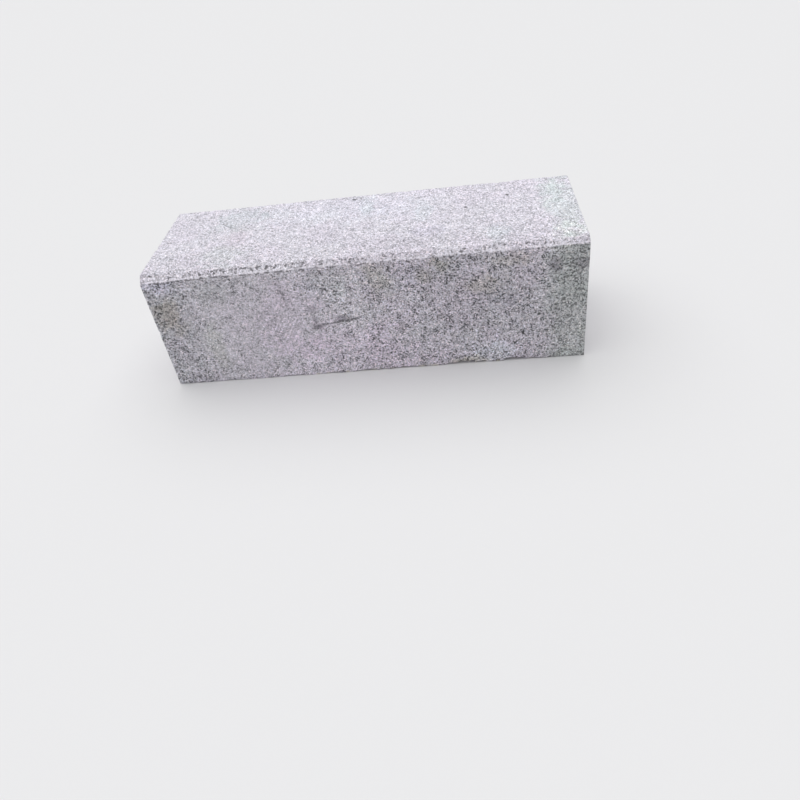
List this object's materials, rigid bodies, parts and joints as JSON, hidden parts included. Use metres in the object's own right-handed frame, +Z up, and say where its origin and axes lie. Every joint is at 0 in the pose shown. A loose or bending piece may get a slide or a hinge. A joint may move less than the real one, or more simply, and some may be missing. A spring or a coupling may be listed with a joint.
{
  "type": "granite kerb stone",
  "caption": "Straight rectangular kerb stone of grey granite with a bevelled top front arris, a bush-hammered top and sawn sides, bedded on its flat underside along a road or path.",
  "frame": {"origin": "middle of the underside, on the ground", "axes": "+X along the stone's length, -Y out of the road face with the bevelled arris above it, +Z up"},
  "size_m": [0.59, 0.2, 0.18],
  "materials": {
    "granite": "pale grey granite with dark mica grains, bush-hammered on top and sawn on the sides"
  },
  "bodies": {
    "root": {"kerb_stone": "granite"}
  },
  "joints": []
}
